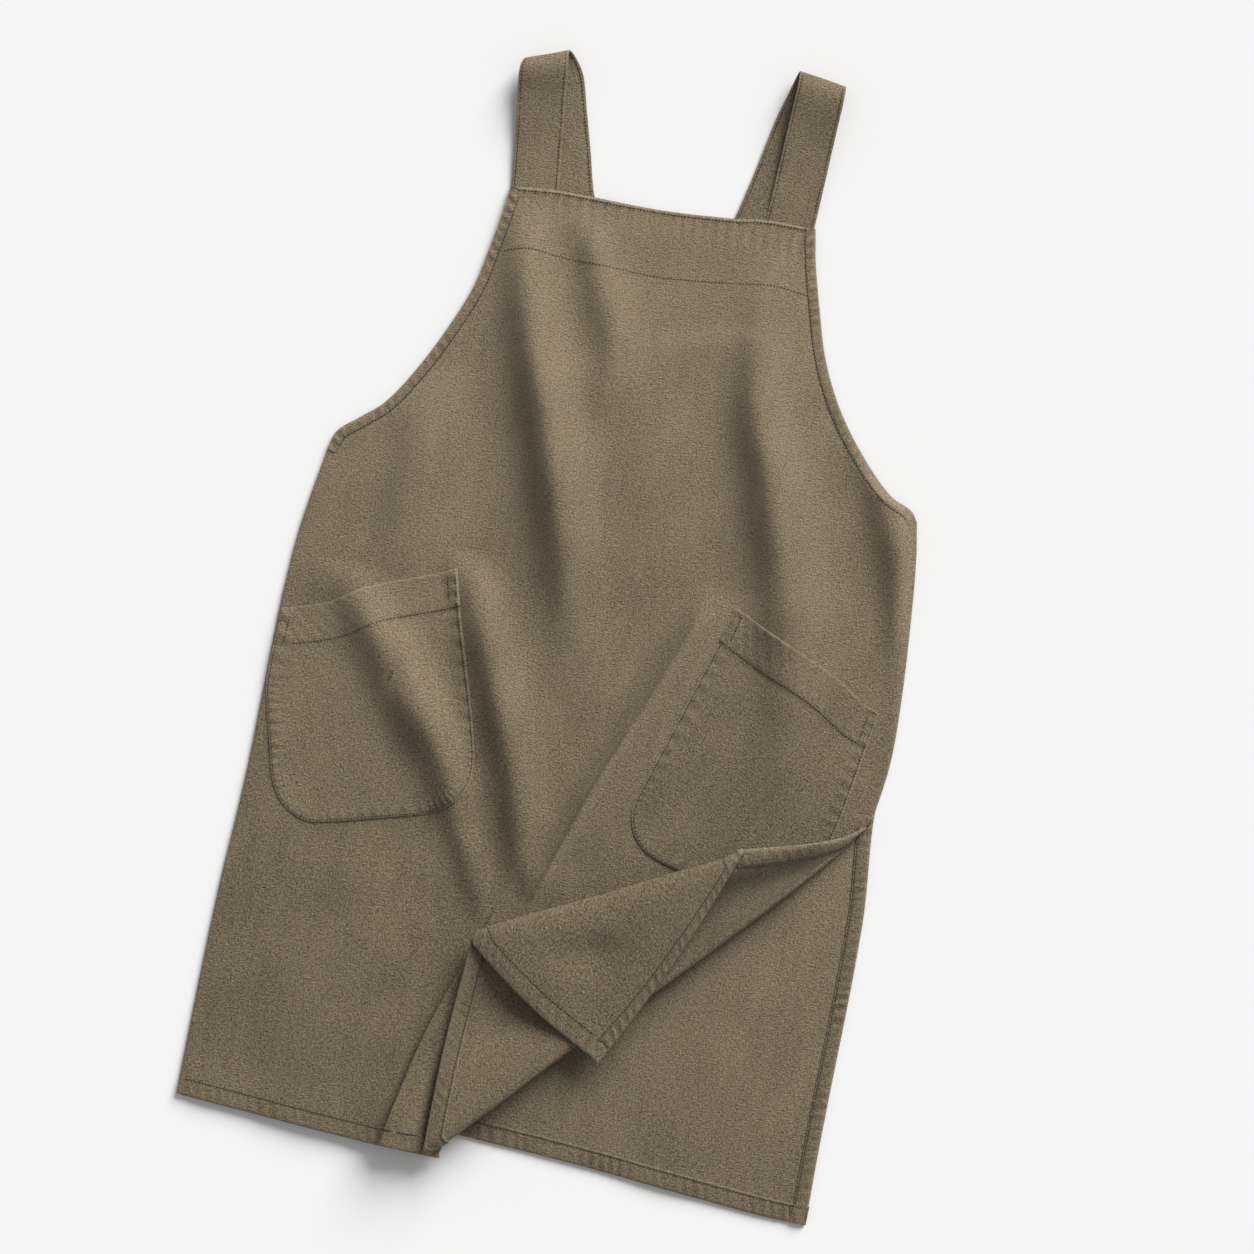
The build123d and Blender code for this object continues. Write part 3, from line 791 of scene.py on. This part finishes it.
def front_grid():
    """Places of the flat front's points in plan: dense near the pleat and the long crease."""
    left, right = row_ends()
    height = (left[:, 1] + right[:, 1]) / 2
    middle = table(
        height, (-515, -75), (-457, -69), (-400, -62), (-340, -50), (-300, -38), (-270, -18), (-240, -4),
        (-150, 28), (-70, 58), (0, 82), (80, 96), (200, 70), (380, 40),
    )
    spread = table(height, (-515, 11), (-340, 11), (-290, 22), (-240, 16), (0, 16), (120, 40), (380, 40))
    width = right[:, 0] - left[:, 0]
    first = np.clip((middle - spread - left[:, 0]) / width, 0.1, 0.93)
    last = np.clip((middle + spread - left[:, 0]) / width, first + 0.02, 0.97)
    share = np.hstack([
        np.linspace(edge_share / 2, first, 44, endpoint=False, axis=1),
        np.linspace(first, last, 40, endpoint=False, axis=1),
        np.linspace(last, 1.0, 36, axis=1),
    ])
    share[fold_rows:] = np.minimum(share[fold_rows:], 1 - edge_share / 2)
    return left[:, None] + (right - left)[:, None] * share[..., None]


def over_fold(roll, last, count):
    """Rows of shares from 0 to the last one, crowded in the part that rolls over a fold."""
    roll = roll[:, None]
    first = np.linspace(0, 1, 9) * roll
    second = roll + (last - roll) * np.linspace(0, 1, count)[1:]
    return np.hstack([first, second])


def corner_grid():
    """Places of the folded corner, from the lower fold to the flap's tip."""
    part = np.linspace(1 - edge_share / 2, edge_share / 2, fold_rows)
    turned = over_fold(lower_roll(part), 1, 30)
    flap = over_fold(upper_roll(part), 0.99, 38)[:, 1:]
    part = part[:, None]
    a_low = (1 - part) * (slit_length - (slit_length - flap_slit) * turned)
    b_low = part * (hem_length - (hem_length - flap_hem) * turned)
    a_high = (1 - part) * flap_slit * (1 - flap)
    b_high = part * flap_hem * (1 - flap)
    return np.hstack([a_low, a_high]), np.hstack([b_low, b_high])


def make_front():
    piece = Cloth()
    plan = front_grid()
    x, y = plan[..., 0], plan[..., 1]
    near_bib = smooth((y - 300) / 60)
    y -= near_bib * 3.0 * hump((x - bib_left) / bib_width) + near_bib * 0.8
    top = front(x, y)
    steps = np.linalg.norm(np.diff(top, axis=1), axis=2)
    across = x[:, :1] + np.hstack([np.zeros((len(plan), 1)), np.cumsum(steps, axis=1)])
    # The front's points carry the long crease's painted highlight and painted shade.
    wear = crease_wear(top[..., 0], top[..., 1])
    piece.slab(top, raised(front, x, y, -cloth), np.stack([across, y], -1), wear)
    a, b = corner_grid()
    piece.slab(corner(a, b), raised(corner, a, b, -cloth), np.stack([a, b], -1) + corner_uv)

    band(piece, front, left_armhole, armhole_seam, FACED_SECTION, inward=-1, pucker=0.85)
    band(piece, front, right_armhole, armhole_seam, FACED_SECTION, inward=1, pucker=0.85, phase=2)
    band(piece, front, bib_edge, 5, SIDE_SECTION, inward=-1, pucker=0.3, phase=4)
    band(piece, front, left_side, 9, SIDE_SECTION, inward=-1, pucker=0.16, phase=1)
    band(piece, front, right_seam, 8, SIDE_SECTION, inward=1, pucker=0.2, phase=3)
    band(piece, front, front_hem, hem_seam, HEM_SECTION, inward=1, pucker=0.35, step=1.2)
    corner_hem = Line((0, hem_length), (0, 0), straight=True)
    corner_slit = Line((slit_length, 0), (0, 0), straight=True)
    band(piece, corner, corner_slit, slit_seam, HEM_SECTION, inward=-1, pucker=0.3, end=flap_slit, phase=5)
    upper = slit_length - flap_slit
    band(piece, corner, corner_slit, slit_seam, HEM_SECTION, inward=-1, pucker=0.8, start=upper, phase=5)
    band(piece, corner, corner_hem, hem_seam, HEM_SECTION, inward=1, pucker=0.5, end=-0.4, phase=6)
    return piece.make("front_cloth", canvas, "canvas", "front_panel")


front_cloth = make_front()


# ---------------------------------------------------------------- the back panel and the facings


def ruled(left, right, low, high, rows, columns):
    """Places between two side lines, bowed to meet a lower and an upper edge."""
    up = np.linspace(edge_share, 1 - edge_share, rows)[:, None]
    over = np.linspace(edge_share, 1 - edge_share, columns)[None]
    west, east = left.share(up), right.share(up)
    place = west + (east - west) * over[..., None]
    for edge, weight in ((low, (1 - up) ** 3), (high, up**3)):
        ends = edge.share(0), edge.share(1)
        straight = ends[0] + (ends[1] - ends[0]) * over[..., None]
        place = place + (edge.share(over) - straight) * weight[..., None]
    return place


def make_back():
    piece = Cloth()
    place = ruled(back_left, back_right, back_hem, back_top, 130, 96)
    x, y = place[..., 0], place[..., 1]
    piece.slab(back(x, y), raised(back, x, y, -cloth), place + back_uv)
    right_slit, left_slit = back_right.below(slit_top + 6), back_left.below(slit_top + 6)
    band(piece, back, right_slit, slit_seam, HEM_SECTION, inward=1, flip=-1, pucker=0.85)
    band(piece, back, left_slit, slit_seam, HEM_SECTION, inward=-1, flip=-1, pucker=0.55)
    band(piece, back, back_right.above(slit_top - 2), 7, FACED_SECTION, inward=1, flip=-1, pucker=0.2)
    band(piece, back, back_hem, hem_seam, HEM_SECTION, inward=1, flip=-1, pucker=0.75, phase=2)
    return piece.make("back_cloth", canvas, "canvas", "back_panel")


def strip_piece(node, surface, edge, width, inward, high, start, end, columns=6):
    """A facing: a narrow sheet that follows an edge, below the cloth that it faces."""
    piece = Cloth()
    distance = np.linspace(start, edge.length - end, max(int(edge.length / 4), 10))
    across = np.linspace(0.5, width, columns)
    along, inset = np.meshgrid(distance, across, indexing="ij")
    place = edge.beside(along, inward * inset)
    x, y = place[..., 0], place[..., 1]
    top, bottom = raised(surface, x, y, high), raised(surface, x, y, high - cloth)
    piece.slab(top, bottom, np.stack([inset, along], -1) + facing_uv)
    return piece.make(node + "_cloth", canvas, "canvas", node)


back_cloth = make_back()
under_front = -1.15  # how high a facing lies, out from the front's right side
left_facing = strip_piece(
    "left_armhole_facing", front, left_armhole, facing_width, -1, under_front, 8, 3
)
right_facing = strip_piece(
    "right_armhole_facing", front, right_armhole, facing_width, 1, under_front, 8, 3
)
bib_facing = strip_piece("bib_facing", front, bib_edge, 54, -1, under_front, 14, 14, columns=16)
back_facing = strip_piece("back_top_facing", back, back_top, 46, -1, 1.0, 12, 12, columns=14)


# ---------------------------------------------------------------- straps

# Each station is X Y of the strap's left edge, X Y of its right edge and the height of both, from
# under the bib, up over the crest of its loop and down behind to the back panel.
LEFT_STRAP = (
    (-146, 335, -102, 339, 2.1), (-148.5, 358, -106, 363, 2.4), (-153.5, 403, -111.5, 411, 6),
    (-158.8, 442, -116, 449, 12.5), (-161, 463, -118.5, 472, 18.5), (-158, 473, -120, 487, 13),
    (-152, 468, -113.5, 483, 6.5), (-145.5, 454, -104, 469, 3.6), (-137, 430, -95.6, 441, 2.4),
    (-127, 393, -84.5, 403, 1.8), (-117, 353, -73, 363, 1.7), (-59.5, 232, -20.5, 250, 2.0),
    (-9.5, 125, 29.5, 143, 3.6), (22.5, 57, 61.5, 75, 2.7), (30.5, 39, 69.5, 57, 2.7),
)
RIGHT_STRAP = (
    (80, 342, 124, 342, 2.1), (81.5, 374, 126, 374.5, 2.4), (83.5, 418, 127.5, 415, 6),
    (85.3, 466, 128.9, 462, 12.5), (86.4, 495, 129.8, 489, 18.5), (86, 508, 129.3, 502, 13),
    (84, 504, 127, 498, 6.5), (80, 489, 122.5, 483, 3.6), (73.8, 466, 117, 457, 2.4),
    (64.7, 418, 108, 409, 1.8), (53.4, 368, 97, 360, 1.7), (14.5, 247, 55.5, 233, 1.8),
    (-25.5, 123, 15.5, 109, 1.8), (-40.5, 76, 0.5, 64, 2.7), (-46.5, 57, -5.5, 44, 2.7),
)
# Half of the strap's section, from its middle to its edge: share of half width, height.
STRAP_SECTION = (
    (0, 0.78), (0.45, 0.8), (0.78, 0.86), (0.87, 0.7), (0.91, 0.86), (0.965, 0.92), (0.995, 0.55),
)


class Ribbon:
    """A strap as a surface between its two edges."""

    def __init__(self, stations):
        self.edges = rounded([(*place[:2], place[4], *place[2:]) for place in stations])
        self.middle = (self.edges[:, :3] + self.edges[:, 3:]) / 2
        steps = np.linalg.norm(np.diff(self.middle, axis=0), axis=1)
        self.reach = np.concatenate([[0], np.cumsum(steps)])
        self.length = self.reach[-1]
        self.half = 21.3  # half its width

    def surface(self, across, along):
        """Its points at some distances, across from its middle line and along from its front end."""
        pair = [np.interp(along, self.reach, axis) for axis in self.edges.T]
        left, right = np.stack(pair[:3], -1), np.stack(pair[3:], -1)
        return left + (right - left) * ((across / self.half + 1) / 2)[..., None]

    def crest(self):
        """How far along the loop's outermost line lies."""
        return self.reach[np.argmax(self.middle[:, 1])]


def make_strap(node, stations, seed, falloff_offset):
    """The doubled cloth of a strap, a little uneven, with ridges along its two edge seams."""
    ribbon = Ribbon(stations)
    piece = Cloth()
    along = np.linspace(0, ribbon.length, int(ribbon.length / 2.2))
    half = np.array(STRAP_SECTION)
    over = np.concatenate([half[:, 0], half[::-1, 0], -half[1:, 0], -half[:0:-1, 0]])
    lift = np.concatenate([half[:, 1], -half[::-1, 1], -half[1:, 1], half[:0:-1, 1]])
    ways = np.meshgrid(along, over * ribbon.half, indexing="ij")
    chance = np.random.default_rng(seed)
    drift = np.interp(along, np.linspace(0, ribbon.length, 12), chance.uniform(-2, 2, 12))[:, None]
    near_edge = bell(np.abs(over) - 0.93, 0.07)[None]
    wave = np.sin(ways[0] * 2 * math.pi / 8 + np.sign(over)[None] * 1.3 + drift)
    swell = undulation(ways[1] * 1.5, ways[0], seed, 5, 30, 70, 0.28)
    rise = lift[None] + 0.16 * wave * near_edge * np.sign(lift)[None] + swell
    points = raised(ribbon.surface, ways[1], ways[0], rise)
    wear = np.clip((np.abs(over) - 0.9) * 9, 0, 0.9)[None] * (0.75 + 0.25 * wave)
    # The falloff offset sets where the strap lies on the canvas's painted light falloff.
    piece.tube(points, np.stack([ways[1] + seed * 90, falloff_offset - ways[0]], -1), wear)
    return ribbon, piece.make(node + "_cloth", canvas, "canvas", node)


left_ribbon, left_strap = make_strap("left_strap", LEFT_STRAP, 21, 270)
right_ribbon, right_strap = make_strap("right_strap", RIGHT_STRAP, 22, 90)


# ---------------------------------------------------------------- pockets

left_mouth = Line(
    (-130.5, 13), (-143, 6.5), (-167, -3), (-193, -13), (-214, -23.5), (-235, -37), (-258, -46), (-279, -52),
)
left_pocket_side = Line(
    (-279, -52), (-280.5, -118), (-275.6, -142), (-266.5, -175), (-259.5, -202), (-249, -221), (-235, -232),
    (-219, -236.5), (-192, -231), (-159, -222), (-115, -209), (-95, -196), (-84, -178), (-82.8, -157),
    (-88, -131), (-101.6, -84), (-119, -29), (-130.5, 13),
)
right_mouth = Line(
    (266.5, -43), (253, -38), (232, -25), (211, -14), (181, -1), (158, 8.5), (135, 19.5), (121, 26),
)
right_pocket_side = Line(
    (121, 26), (112, -8), (98, -54), (83.5, -102), (70.5, -144), (65, -164), (65.2, -178), (71, -193),
    (82.5, -205), (104, -214), (150, -223), (182, -229), (196, -222), (226, -185), (243, -170), (248, -155),
    (255, -117), (261, -77), (266.5, -43),
)


def nearest(x, y, line):
    """Distance from each point to a line, and how far along the line its nearest place is."""
    every = line.points[::3] if len(line.points) > 60 else line.points
    reach = np.linspace(0, line.length, len(every))
    found, along = np.full(x.shape, 1e9), np.zeros(x.shape)
    for (ax, ay), (bx, by), start, end in zip(every, every[1:], reach, reach[1:]):
        dx, dy = bx - ax, by - ay
        share = np.clip(((x - ax) * dx + (y - ay) * dy) / (dx * dx + dy * dy), 0, 1)
        away = np.hypot(x - ax - share * dx, y - ay - share * dy)
        nearer = away < found
        found = np.where(nearer, away, found)
        along = np.where(nearer, start + share * (end - start), along)
    return found, along


def make_pocket(node, mouth, side, grain, seed, falloff_offset):
    """A patch pocket sewn on round its sides and bottom, with a thicker hem along its mouth."""
    piece = Cloth()
    shares = [np.linspace(0, 1, count, endpoint=False) for count in (76, 340)]
    around = np.vstack([mouth.share(shares[0]), side.share(shares[1])])
    middle = around.mean(axis=0)
    steps = np.array((
        0, 0.003, 0.007, 0.013, 0.02, 0.03, 0.045, 0.07, 0.11, 0.15, 0.19, 0.23, 0.27, 0.31, 0.36, 0.42,
        0.5, 0.6, 0.72, 0.86, 0.985,
    ))
    place = around[None] + (middle - around)[None] * steps[:, None, None]
    x, y = place[..., 0], place[..., 1]
    from_mouth, along_mouth = nearest(x, y, mouth)
    from_side, along_side = nearest(x, y, side)
    past_seam = from_mouth - (mouth_hem + 0.5)
    hem = 1 - smooth((from_mouth - (mouth_hem - 1)) / 3)
    turned_in = 1 - smooth((from_side - 9) / 2.5)
    wave = np.sin(along_side * 2 * math.pi / 9.5 + 2 * np.sin(along_side / 31))
    mouth_wave = np.sin(along_mouth * 2 * math.pi / 11 + 0.4 * from_mouth + seed)
    lift = cloth + (0.45 + 0.55 * hem + 0.5 * turned_in + 0.22 * mouth_wave * hem) * smooth(from_side / 1.3)
    lift += 0.6 * wave * bell(from_side - 6, 5) * smooth(from_side / 2)
    lift -= 0.35 * bell(from_side - 2.4, 0.8) + 0.4 * bell(past_seam, 1.2)
    lift -= 0.3 * bell(from_mouth, 0.7)
    # Worn pale edges round the pocket and along its mouth, paler crests and painted shade in the troughs of
    # the seam's puckers, and a painted shade line just past the mouth hem's seam.
    wear = 1.2 * bell(from_side, 1.5) * (0.8 + 0.2 * wave) + 1.1 * bell(from_mouth, 1.8)
    wear += 0.22 * hem * np.clip(mouth_wave, 0, 1) * bell(from_mouth - 28, 9)
    wear += 0.35 * wave * bell(from_side - 7, 4) - 0.6 * bell(past_seam, 0.9)
    top, bottom = raised(front, x, y, np.maximum(lift, 0.1)), raised(front, x, y, -0.25)
    turn = np.array(((math.cos(grain), -math.sin(grain)), (math.sin(grain), math.cos(grain))))
    # The falloff offset sets how light the pocket lies on the canvas's painted light falloff.
    piece.slab(top, bottom, place @ turn + (seed * 900, falloff_offset), wear, round_middle=True)
    return piece.make(node + "_cloth", canvas, "canvas", node)


left_pocket = make_pocket("left_pocket", left_mouth, left_pocket_side, math.radians(24), 1, 50)
right_pocket = make_pocket("right_pocket", right_mouth, right_pocket_side, math.radians(-24), 4, -260)


# ---------------------------------------------------------------- stitching


def seam(name, *rows, node=None):
    """A piece of separate stitches. Each row is a surface, a line and the facts of its stitches."""
    piece = Cloth()
    for surface, line, facts in rows:
        stitches(piece, surface, line, **facts)
    return piece.make(name + "_thread", thread, "sewing_thread", node or name + "_stitching")


seam("bib_top", (front, bib_edge.shifted(-3.0, 4, 4), {}))
facing_seam = Line(
    (-146, 300), (-122, 306), (-92, 304.5), (-5, 304), (30, 307), (69, 312), (100, 315.5), (139, 312),
)
seam("bib_facing", (front, facing_seam, {"lift": 0.0}))
seam("left_armhole", (front, left_armhole.shifted(-armhole_seam, 4, 3), {}))
seam("right_armhole", (front, right_armhole.shifted(armhole_seam, 4, 3), {}))
hem_line = Line((hem_seam, hem_length), (hem_seam, hem_seam + 1), straight=True)
slit_line = Line((slit_length - 2, slit_seam), (2, slit_seam), straight=True)
on_hem = {"lift": 0.3}
under_hem = {"lift": 1.95, "flip": -1}
seam(
    "front_hem",
    (front, front_hem.shifted(hem_seam, 3, 1), {"pitch": 2.6}),
    (corner, hem_line, on_hem),
    (corner, hem_line, under_hem),
    (corner, Line((hem_seam, 0), (hem_seam, 15), straight=True), {"lift": 0.6}),
)
left_slit_line = left_side.below(slit_top + 1).shifted(-slit_seam, 16, 2)
seam(
    "front_slit",
    (corner, slit_line, on_hem),
    (corner, slit_line, under_hem),
    (front, left_slit_line, {"lift": -1.2}),
)
seam("back_hem", (back, back_hem.shifted(hem_seam, 4, 3), {"lift": 1.15}))
seam(
    "back_slit",
    (back, back_right.below(slit_top - 2).shifted(slit_seam, hem_seam, 0), {"lift": 1.15}),
    (back, back_left.below(slit_top - 2).shifted(-slit_seam, hem_seam, 0), {"lift": 1.15}),
    (back, Line((272, -492), (274.5, -505), straight=True), {"lift": 1.7}),
)
seam(
    "back_top",
    (back, back_top.shifted(-3, 14, 14), {"lift": 1.3}),
    (back, back_top.shifted(-44, 20, 20), {"lift": 1.3}),
)


def pocket_seams(name, mouth, edge):
    """The seam round a pocket, a second one at both ends of its hem, and the seam of the hem."""
    ends = {"start": 2, "end": 2}
    below_hem = edge.length - mouth_hem
    seam(
        name,
        (front, edge.shifted(2.3, 2, 2), {"lift": 1.75, **ends}),
        (front, edge.shifted(9, 3, below_hem), {"lift": 2.4, **ends}),
        (front, edge.shifted(9, below_hem, 3), {"lift": 2.4, **ends}),
    )
    seam(name + "_mouth", (front, mouth.shifted(mouth_hem, 3, 3), {"lift": 1.6, **ends}))


pocket_seams("left_pocket", left_mouth, left_pocket_side)
pocket_seams("right_pocket", right_mouth, right_pocket_side)


def strap_seam(name, ribbon):
    """The seams along both edges of a strap, and the box that is sewn round its back end."""
    crest = ribbon.crest()
    rows = []
    for across in (-18.6, 18.6):
        up = Line((across, 3), (across, crest), straight=True)
        down = Line((across, crest), (across, ribbon.length - 4), straight=True)
        rows += [(ribbon.surface, up, {"lift": 0.85}), (ribbon.surface, down, {"lift": 0.85, "flip": -1})]
    end = ribbon.length - 5
    box = Line((-15, end), (15, end), (15, end - 16), (-15, end - 16), (-15, end), straight=True)
    rows.append((ribbon.surface, box, {"lift": 0.95, "flip": -1}))
    seam(name, *rows)


strap_seam("left_strap", left_ribbon)
strap_seam("right_strap", right_ribbon)
left_seam = left_side.above(slit_top + 8).shifted(-10, 2, 2)
seam("left_side", (front, left_seam, {"lift": -1.4}), node="left_side_seam_stitching")
seam("right_side", (front, right_seam.shifted(10, 2, 2), {"lift": -1.4}), node="right_side_seam_stitching")


# ---------------------------------------------------------------- what each sheet is


# ---------------------------------------------------------------- floor, light and camera


def make_floor():
    mesh = bpy.data.meshes.new("floor")
    side, level = 8.0, -0.0003  # just below the lowest puckers of the cloth
    corners = [(-side, -side, level), (side, -side, level), (side, side, level), (-side, side, level)]
    mesh.from_pydata(corners, [], [(0, 1, 2, 3)])
    floor = bpy.data.objects.new("floor", mesh)
    bpy.context.scene.collection.objects.link(floor)
    paper = Nodes("pale_paper")
    mesh.materials.append(
        paper.finish(Base_Color=(0.86, 0.86, 0.86, 1), Roughness=0.95, Specular_IOR_Level=0.1)
    )


def make_light():
    world = bpy.data.worlds.new("studio")
    world.use_nodes = True
    background = world.node_tree.nodes["Background"]
    background.inputs["Color"].default_value = (1, 1, 1, 1)
    background.inputs["Strength"].default_value = 0.355
    bpy.context.scene.world = world
    sun = bpy.data.lights.new("window", "SUN")
    sun.energy = 4.5
    sun.angle = math.radians(36)
    sun.color = (1.0, 0.995, 0.99)
    lamp = bpy.data.objects.new("window", sun)
    towards_light = Vector((0.38, 0.925, 0.57))
    lamp.rotation_euler = towards_light.to_track_quat("Z", "Y").to_euler()
    bpy.context.scene.collection.objects.link(lamp)


def make_camera():
    turn = math.radians(11.0)
    distance = 3.4
    view_width = 1.1286
    camera = bpy.data.cameras.new("camera")
    camera.sensor_width = 36
    camera.lens = camera.sensor_width * distance / view_width
    camera.clip_end = 50
    holder = bpy.data.objects.new("camera", camera)
    holder.location = (0.0289, -0.0102, distance)
    holder.rotation_euler = (0, 0, turn)
    bpy.context.scene.collection.objects.link(holder)
    bpy.context.scene.camera = holder


make_floor()
make_light()
make_camera()
bpy.context.scene.view_settings.view_transform = "Standard"
